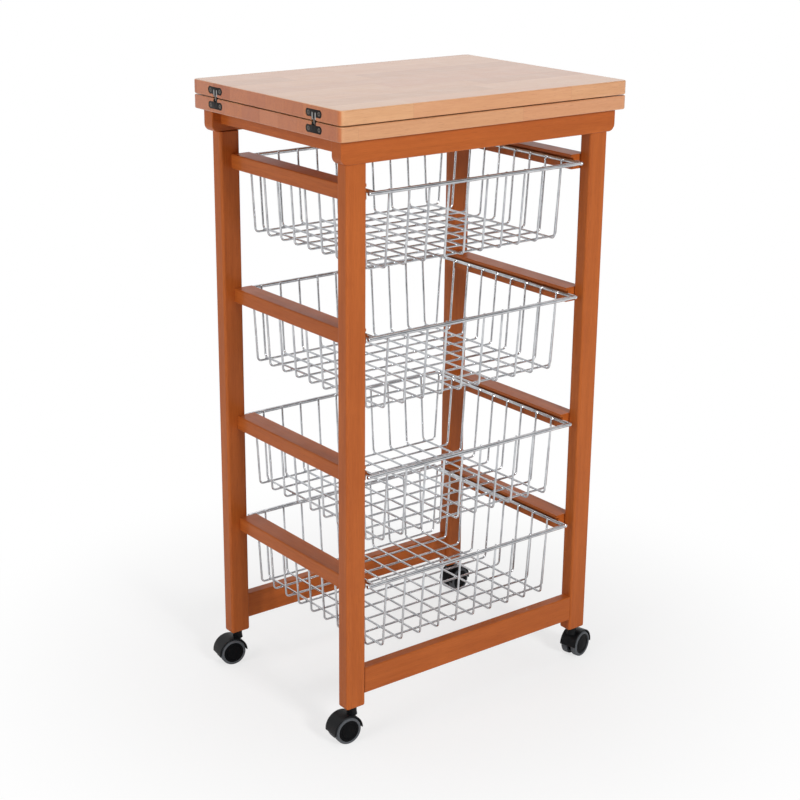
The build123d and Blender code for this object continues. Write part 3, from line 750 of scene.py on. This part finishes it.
def tyre_profile():
    """Section of the tyre: a flat tread between two rounded shoulders, and a lip over the cap's edge."""
    band = WHEEL_RADIUS - TYRE_BAND
    seat = band - 0.6 * MM
    inner_round, outer_round = 1.6 * MM, 2.2 * MM
    lip, lip_depth = 0.5 * MM, 1.2 * MM
    return np.vstack(
        [
            [(WHEEL_INNER, seat)],
            arc_points((WHEEL_INNER + inner_round, WHEEL_RADIUS - inner_round), inner_round, 180, 90),
            arc_points((WHEEL_OUTER - outer_round, WHEEL_RADIUS - outer_round), outer_round, 90, 0),
            arc_points((WHEEL_OUTER - lip, band + lip), lip, 0, -90, steps=4),
            [(WHEEL_OUTER - lip_depth, seat)],
        ]
    )


def cap_profile():
    """Section of the cap: a shallow dish with a pressed groove and a low dome at the middle."""
    tiny = 0.02 * MM
    band = WHEEL_RADIUS - TYRE_BAND - tiny
    bore = AXLE_RADIUS + 0.05 * MM
    face, shoulder, back = WHEEL_OUTER - 0.5 * MM, WHEEL_OUTER - 1.3 * MM, WHEEL_OUTER - 2.0 * MM
    edge, edge_drop = 0.7 * MM, 0.8 * MM
    groove = np.array([(0.0, 11.6), (-0.5, 11.2), (-0.5, 10.6), (0.0, 10.2)]) * MM
    dome = np.array([(0.1, 8.0), (0.3, 5.0), (0.4, 2.0), (0.42, 0.02)]) * MM
    return np.vstack(
        [
            [(WHEEL_INNER, bore), (WHEEL_INNER, band - edge), (shoulder, band - edge)],
            arc_points((face - edge, band - edge_drop), edge, 80, 0, steps=5),
            groove + (face, 0.0),
            dome + (face, 0.0),
            [(back, tiny), (back, bore)],
        ]
    )


# %% Caster hood, web and neck
def hood_section(shrink):
    """Section of the hood as a closed loop of (s, r): outer skin, round edges and inner skin.

    shrink, from 0 to 1, draws the thickness in to the middle line, which rounds the hood's two ends."""
    middle, half = (HOOD_INNER + HOOD_OUTER) / 2, (HOOD_OUTER - HOOD_INNER) / 2
    edge = WHEEL_OUTER - half
    loop = np.vstack(
        [
            np.stack([np.linspace(-edge, edge, 9), np.full(9, half)], axis=-1),
            arc_points((edge, 0.0), half, 80, -80, steps=7),
            np.stack([np.linspace(edge, -edge, 9), np.full(9, -half)], axis=-1),
            arc_points((-edge, 0.0), half, 260, 100, steps=7),
        ]
    )
    loop[:, 1] *= 1.0 - shrink
    return loop + (0.0, middle)


def carried_about(hub, section, angle, trail, across):
    """Sections of (s, r) carried about the axle: hub + s * across + r * (cos a * trail + sin a * up)."""
    spoke = np.cos(angle)[:, None] * trail + np.sin(angle)[:, None] * UP
    points = hub + section[..., :1] * across + section[..., 1:] * spoke[:, None]
    return grid_surface(points, wrap_columns=True, cap_rows=True)


def hood_shell(hub, trail, across):
    """The hood's section carried from its rear edge to its front edge.

    Both edges are rounded: at b = 0, 30, 60 and 86 degrees of the rounding, the section is drawn in by
    1 - cos b and lies half_angle * (1 - sin b) short of the edge."""
    ends = np.radians([0.0, 30.0, 60.0, 86.0])
    half_angle = (HOOD_OUTER - HOOD_INNER) / (HOOD_OUTER + HOOD_INNER)
    short = half_angle * (1 - np.sin(ends))
    drawn_in = 1 - np.cos(ends)
    between = np.linspace(HOOD_REAR + half_angle, HOOD_FRONT - half_angle, HOOD_STEPS)[1:-1]
    angle = np.concatenate([HOOD_REAR + short[::-1], between, HOOD_FRONT - short])
    shrink = np.concatenate([drawn_in[::-1], np.zeros(len(between)), drawn_in])
    section = np.stack([hood_section(amount) for amount in shrink])
    return carried_about(hub, section, angle, trail, across)


def hood_web(hub, trail, across):
    """The plate between the wheels: a fan of four-cornered sections from hub to hood."""
    near, far = 2.6 * MM, 20.6 * MM
    section = np.array([(-WEB_HALF, near), (WEB_HALF, near), (WEB_HALF, far), (-WEB_HALF, far)])
    return carried_about(hub, section, np.linspace(HOOD_REAR, HOOD_FRONT, HOOD_STEPS), trail, across)


def hub_boss(hub, across):
    """A short ring around the axle, on the web."""
    bore, rim = 2.56 * MM, 6.0 * MM
    boss = [(-WEB_HALF, bore), (-WEB_HALF, rim), (WEB_HALF, rim), (WEB_HALF, bore)]
    return turned(boss, hub, across, steps=40)


def hood_neck(pivot, top, bottom):
    """The neck under the leg: a turned sleeve that flares where it runs into the hood.

    At the share h of its height the radius is NECK_RADIUS + flare * (1 - h)^3."""
    bore, flare, crown = 4.05 * MM, 0.9 * MM, 0.6 * MM
    share = np.linspace(0, 1, 9)
    radius = NECK_RADIUS + flare * (1 - share) ** 3
    outside = np.stack([bottom + share * (top - bottom - crown), radius], axis=-1)
    rounding = arc_points((top - crown, NECK_RADIUS - crown), crown, 90, 0, steps=5)
    profile = np.vstack([[(bottom, bore)], outside, rounding, [(top, bore)]])
    return turned(profile, (pivot[0], pivot[1], 0.0), UP, steps=48)


# %% Make the casters
def make_caster(corner):
    """Hood and four wheel pieces of one caster, placed by the model's own joints.

    The neck's foot is sunk by NECK_SINK below the dome, a circle of HOOD_OUTER about the axle, at the
    spot that is 0.3 of the neck's radius nearer to the axle than the pivot."""
    wheel_joint = joints[f"wheel_{corner}_a_spin"]
    hub = np.array(wheel_joint["pos_m"], float)
    across = np.array(wheel_joint["axis"], float)
    trail = np.cross(UP, across)
    pivot = np.array(joints[f"caster_{corner}_swivel"]["pos_m"], float)
    hood_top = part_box(f"caster_{corner}_hood")[1].z
    reach = np.linalg.norm(hub[:2] - pivot[:2]) - 0.3 * NECK_RADIUS
    neck_foot = hub[2] + math.sqrt(HOOD_OUTER**2 - reach**2) - NECK_SINK
    shell = [hood_shell(hub, trail, across), hood_web(hub, trail, across), hub_boss(hub, across)]
    shell.append(hood_neck(pivot, hood_top, neck_foot))
    body, solid = f"caster_{corner}", f"caster_{corner}_hood"
    make_piece(f"caster_{corner}_dome", shell, black_plastic, body, [solid])
    for letter, outwards in (("a", across), ("b", -across)):
        body, solid = f"wheel_{corner}_{letter}", f"caster_{corner}_wheel_{letter}"
        tyre = turned(tyre_profile(), hub, outwards)
        cap = turned(cap_profile(), hub, outwards)
        make_piece(f"{solid}_tyre", [tyre], tyre_plastic, body, [solid])
        make_piece(f"{solid}_cap", [cap], cap_plastic, body, [solid])


for corner in CORNERS:
    make_caster(corner)
print("casters:", len(CORNERS))

# %% [markdown]
# ## Hinges
#
# Each hinge has a dark oblong plate in the end of each leaf, a fork of two prongs that holds the
# pivot pin, and a link between the forks. The upper forks are plain steel and the lower ones
# bronzed like the plates. The plates are outlines drawn in to a rounded edge. Prongs and links
# are the same kind of shape: a long loop around two pins, given a thickness with eased edges.
# Screw heads are a disc whose height is a function of radius and angle, so that the cross recess
# is sunk into it.

# %% Hinge shapes
PLATE_LENGTH, PLATE_HEIGHT, PLATE_WAIST = 34.0 * MM, 10.0 * MM, 9.4 * MM
PLATE_THICK, PLATE_SINK, PLATE_MARGIN = 2.5 * MM, 0.25 * MM, 4.0 * MM
SCREW_REACH, SCREW_RADIUS = 11.0 * MM, 2.7 * MM
HEAD_DOME, HEAD_PROUD = 0.25 * MM, 0.05 * MM
CROSS_ARM, CROSS_BAR, CROSS_EDGE, CROSS_DEPTH = 0.62, 0.14, 0.08, 0.9 * MM
LUG_RADIUS, LINK_RADIUS = 2.0 * MM, 1.75 * MM
LUG_OFFSET, LUG_THICK, LINK_THICK = 3.2 * MM, 2.2 * MM, 3.6 * MM
LUG_ROOT, LUG_PROUD = 11.5 * MM, 0.35 * MM


def lofted_outline(outline, origin, first, second, out, steps):
    """An outline in a plane, carried outwards: origin + y * first + z * second + h * out.

    steps lists (h, inset) pairs; the inset draws the outline's points (y, z) in towards its middle."""
    inwards = unit(outline.mean(0) - outline)
    rings = []
    for h, inset in steps:
        drawn = outline + inset * inwards
        rings.append(origin + drawn[:, :1] * first + drawn[:, 1:] * second + h * out)
    return grid_surface(np.stack(rings), wrap_columns=True, cap_rows=True)


def plate_outline():
    """Two round lobes joined by a waist: each lobe's circle runs on until it meets the waist's side."""
    lobe, half_waist = PLATE_HEIGHT / 2, PLATE_WAIST / 2
    centre = PLATE_LENGTH / 2 - lobe
    meet = math.degrees(math.asin(half_waist / lobe))
    right = arc_points((centre, 0.0), lobe, -180 + meet, 180 - meet, steps=33)
    left = arc_points((-centre, 0.0), lobe, meet, 360 - meet, steps=33)
    return np.vstack([right, left])


def loop_outline(first, second, radius):
    """A loop around two points at one radius: a half circle at each and straight sides between."""
    first, second = np.asarray(first, float), np.asarray(second, float)
    heading = math.degrees(math.atan2(*(second - first)[::-1]))
    return np.vstack(
        [
            arc_points(second, radius, heading - 90, heading + 90, steps=13),
            arc_points(first, radius, heading + 90, heading + 270, steps=13),
        ]
    )


def screw_head(centre, out, first, second):
    """A countersunk head, over the radius r, from 0 to 1, and the angle a.

    Its height is HEAD_DOME * (1 - r^2) - CROSS_DEPTH * recess. The recess is 1 - r / 2 inside a cross
    and 0 outside it, with sides that slope over CROSS_EDGE. Below the face the cone goes in by three
    rings, given as (depth in mm, share of the radius)."""
    r = np.linspace(0.02, 1.0, 15)[:, None]
    a = np.linspace(0, 2 * np.pi, 48, endpoint=False)[None, :]
    x, y = r * np.cos(a), r * np.sin(a)
    arm = CROSS_ARM - np.maximum(np.abs(x), np.abs(y))
    bar = CROSS_BAR - np.minimum(np.abs(x), np.abs(y))
    recess = np.clip(np.minimum(arm, bar) / CROSS_EDGE, 0, 1) * (1 - 0.5 * r)
    height = HEAD_DOME * (1 - r**2) - CROSS_DEPTH * recess
    flat = SCREW_RADIUS * (x[..., None] * first + y[..., None] * second)
    face = centre + flat + height[..., None] * out
    sink = np.array([(0.35, 0.97), (1.4, 0.52), (1.45, 0.02)])
    rim = SCREW_RADIUS * (np.cos(a)[..., None] * first + np.sin(a)[..., None] * second)
    below = centre - sink[:, :1, None] * MM * out + sink[:, 1:, None] * rim
    return grid_surface(np.concatenate([face, below]), wrap_columns=True, cap_rows=True)


# %% Make the hinges
OUT, ACROSS = np.array([-1.0, 0.0, 0.0]), np.array([0.0, 1.0, 0.0])
END_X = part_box("worktop_lower")[0].x
PIVOT = {
    "lower": np.array(joints["link_turn"]["pos_m"], float),
    "upper": np.array(joints["flap_turn"]["pos_m"], float),
}
AWAY = {"lower": -1.0, "upper": 1.0}
SEAM = {"lower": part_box("worktop_lower")[1].z, "upper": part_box("worktop_flap")[0].z}
BODY = {"lower": "frame", "upper": "flap"}
BAR_EASED = [(0.0, 0.25), (0.12, 0.07), (0.3, 0.0), (0.7, 0.0), (0.88, 0.07), (1.0, 0.25)]
PLATE_EASED = [(PLATE_SINK - PLATE_THICK, 0.0), (-0.35 * MM, 0.0)]
PLATE_EASED += [(-0.1 * MM, 0.12 * MM), (0.0, 0.4 * MM)]


def eased_bar(outline, y, thick):
    """A flat bar in the XZ plane, of a thickness along Y about y, with eased edges on both faces.

    BAR_EASED lists them as (share of the thickness, inset in mm)."""
    steps = [((share - 0.5) * thick, inset * MM) for share, inset in BAR_EASED]
    return lofted_outline(outline, y * ACROSS, -OUT, UP, ACROSS, steps)


def make_hinge_half(end, half):
    """Plate, fork and screws of one hinge half, on the frame or on the flap."""
    low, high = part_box(f"hinge_plate_{end}_{half}")
    y = (low.y + high.y) / 2
    plate_z = SEAM[half] + AWAY[half] * (PLATE_MARGIN + PLATE_HEIGHT / 2)
    face = np.array([END_X + PLATE_SINK, y, plate_z])
    plate = lofted_outline(plate_outline(), face, ACROSS, UP, OUT, PLATE_EASED)
    lug_x = PIVOT[half][0] - LUG_PROUD
    lug_root = SEAM[half] + AWAY[half] * (LUG_ROOT - LUG_RADIUS)
    outline = loop_outline((lug_x, PIVOT[half][2]), (lug_x, lug_root), LUG_RADIUS)
    prongs, heads = [], []
    for side in (-1, 1):
        prongs.append(eased_bar(outline, y + side * LUG_OFFSET, LUG_THICK))
        seat = np.array([END_X + PLATE_SINK - HEAD_PROUD, y + side * SCREW_REACH, plate_z])
        heads.append(screw_head(seat, OUT, ACROSS, UP))
    body, solid, screws = BODY[half], f"hinge_plate_{end}_{half}", f"hinge_screws_{half}"
    fork_finish = steel if half == "upper" else bronze
    make_piece(f"{solid}_plate", [plate], bronze, body, [solid])
    make_piece(f"{solid}_fork", prongs, fork_finish, body, [solid])
    make_piece(f"hinge_screw_heads_{end}_{half}", heads, dark_steel, body, [screws])
    return y


for end in ("front", "back"):
    for half in ("lower", "upper"):
        hinge_y = make_hinge_half(end, half)
    link_outline = loop_outline(PIVOT["lower"][[0, 2]], PIVOT["upper"][[0, 2]], LINK_RADIUS)
    link = eased_bar(link_outline, hinge_y, LINK_THICK)
    solid = f"hinge_link_{end}"
    make_piece(f"{solid}_bar", [link], dark_steel, "hinge_links", [solid])
    print(f"{end} hinge at y = {hinge_y:.4f}")

# %% [markdown]
# ## Stage, light and camera
#
# The cart stands on a plain white floor in soft studio light: an even surround and three soft
# boxes, from the front, the left and above. The world and the floor show plain white to the
# camera and to reflections, while the floor still catches the soft shadows under the casters.
# Only the room behind the camera is dim, which gives bright wire its darker streaks. The camera
# stands where the photo was taken, off the front left corner and a little above the top.

# %% Floor and light
FLOOR_HALF = 12.0
FADE_START, FADE_END = 0.2, 0.75
FLOOR_GLOW = 0.68
SURROUND, ROOM = 0.22, 0.18
BEHIND_CART, ABOVE_CART = (-0.25, 0.45), (0.5, 0.85)
CAMERA_YAW, CAMERA_PITCH, CAMERA_ROLL = (math.radians(angle) for angle in (37.76, 18.53, 0.54))
HEADING = (math.sin(CAMERA_YAW), math.cos(CAMERA_YAW), 0.0)


def mirrored_ray(tree, ray):
    """1 for a ray that comes from a reflection or through glass, 0 for any other."""
    return calc(tree, "MAXIMUM", ray["Is Glossy Ray"], ray["Is Transmission Ray"])


def make_floor():
    """A wide square on z = 0, nearly white, that takes the cart's shadow.

    The camera and reflections see it mixed with plain white, wholly from FADE_END on. Below the cart
    the camera's share of white is FLOOR_GLOW, and reflections meet the shaded floor as it is lit."""
    corner = np.array([[(-1, -1), (1, -1)], [(-1, 1), (1, 1)]], float) * FLOOR_HALF
    flat, faces = grid_surface(np.concatenate([corner, np.zeros((2, 2, 1))], axis=-1))
    mesh = bpy.data.meshes.new("studio_floor")
    mesh.from_pydata(flat.tolist(), [], faces)
    material, tree, shader = new_finish("studio_floor", Roughness=0.7, Specular_IOR_Level=0.2)
    place = object_coordinates(tree)
    pale, paler = screen_colour(246, 246, 246), screen_colour(250, 250, 250)
    tone = mix_colour(tree, noise(tree, place, scale=2.0), paler, pale)
    tree.links.new(tone, shader["Base Color"])
    away = add_node(tree, "ShaderNodeVectorMath", {0: place}, operation="LENGTH").outputs["Value"]
    far_off = ramp(tree, away, FADE_START, FADE_END)
    fade = calc(tree, "MULTIPLY_ADD", far_off, 1.0 - FLOOR_GLOW, FLOOR_GLOW)
    ray = add_node(tree, "ShaderNodeLightPath").outputs
    white = {"Color": (1.0, 1.0, 1.0, 1.0), "Strength": 1.0}
    glow = add_node(tree, "ShaderNodeEmission", white).outputs[0]
    lit = tree.nodes["Principled BSDF"].outputs[0]
    seen = calc(tree, "MULTIPLY", fade, ray["Is Camera Ray"])
    share = calc(tree, "MAXIMUM", seen, calc(tree, "MULTIPLY", far_off, mirrored_ray(tree, ray)))
    both = add_node(tree, "ShaderNodeMixShader", {0: share, 1: lit, 2: glow})
    tree.links.new(both.outputs[0], tree.nodes["Material Output"].inputs["Surface"])
    mesh.materials.append(material)
    floor = bpy.data.objects.new("studio_floor", mesh)
    bpy.context.scene.collection.objects.link(floor)


def make_surround():
    """World light: diffuse rays meet the plain strength SURROUND, and camera rays meet white.

    Glossy and transmission rays meet white behind and above the cart, and a dim room behind the camera.
    Their strength is ROOM + (1 - ROOM) times the larger of two smooth steps: of the ray's direction
    along the camera's level heading over BEHIND_CART, and of its rise over ABOVE_CART."""
    world = bpy.data.worlds.new("studio")
    bpy.context.scene.world = world
    world.use_nodes = True
    tree = world.node_tree
    ray = add_node(tree, "ShaderNodeLightPath").outputs
    direction = add_node(tree, "ShaderNodeTexCoord").outputs["Generated"]
    both = {0: direction, 1: HEADING}
    along = add_node(tree, "ShaderNodeVectorMath", both, operation="DOT_PRODUCT").outputs["Value"]
    rise = add_node(tree, "ShaderNodeSeparateXYZ", {"Vector": direction}).outputs["Z"]
    bright = calc(tree, "MAXIMUM", ramp(tree, along, *BEHIND_CART), ramp(tree, rise, *ABOVE_CART))
    reflected = calc(tree, "MULTIPLY_ADD", bright, 1.0 - ROOM, ROOM - SURROUND)
    unseen = calc(tree, "MULTIPLY_ADD", reflected, mirrored_ray(tree, ray), SURROUND)
    strength = calc(tree, "MAXIMUM", unseen, ray["Is Camera Ray"])
    background = tree.nodes["Background"]
    background.inputs["Color"].default_value = (1.0, 1.0, 1.0, 1.0)
    tree.links.new(strength, background.inputs["Strength"])


def area_lamp(name, place, target, size, power):
    """A square soft box that faces a target."""
    data = bpy.data.lights.new(name, "AREA")
    data.energy = power
    data.size = size
    lamp = bpy.data.objects.new(name, data)
    bpy.context.scene.collection.objects.link(lamp)
    lamp.location = place
    lamp.rotation_euler = (Vector(target) - Vector(place)).to_track_quat("-Z", "Y").to_euler()


make_floor()
make_surround()
area_lamp("front_softbox", place=(-0.25, -3.3, 1.9), target=(0.0, 0.0, 0.45), size=0.7, power=72.0)
area_lamp("left_softbox", place=(-3.0, -0.2, 1.6), target=(0.0, 0.0, 0.45), size=1.6, power=34.0)
area_lamp("top_softbox", place=(0.0, 0.4, 3.3), target=(0.0, 0.0, 0.6), size=2.2, power=20.0)
print("lamps:", ", ".join(light.name for light in bpy.data.lights))

# %% Camera
CAMERA_PLACE = Vector((-1.3873, -1.7733, 1.1570))
CAMERA_LENS = 75.93


def make_camera():
    """Camera axes: forward from yaw and pitch, right level with the floor, both turned by the roll."""
    heading = Vector(HEADING)
    forward = math.cos(CAMERA_PITCH) * heading - math.sin(CAMERA_PITCH) * Vector((0.0, 0.0, 1.0))
    right = Vector((math.cos(CAMERA_YAW), -math.sin(CAMERA_YAW), 0.0))
    up = right.cross(forward)
    turned_right = math.cos(CAMERA_ROLL) * right + math.sin(CAMERA_ROLL) * up
    turned_up = math.cos(CAMERA_ROLL) * up - math.sin(CAMERA_ROLL) * right
    data = bpy.data.cameras.new("camera")
    data.sensor_width = 36.0
    data.lens = CAMERA_LENS
    camera = bpy.data.objects.new("camera", data)
    bpy.context.scene.collection.objects.link(camera)
    axes = Matrix((turned_right, turned_up, -forward)).transposed().to_4x4()
    camera.matrix_world = Matrix.Translation(CAMERA_PLACE) @ axes
    bpy.context.scene.camera = camera


make_camera()
bpy.context.scene.view_settings.view_transform = "Standard"
print("camera at", tuple(round(v, 3) for v in CAMERA_PLACE))
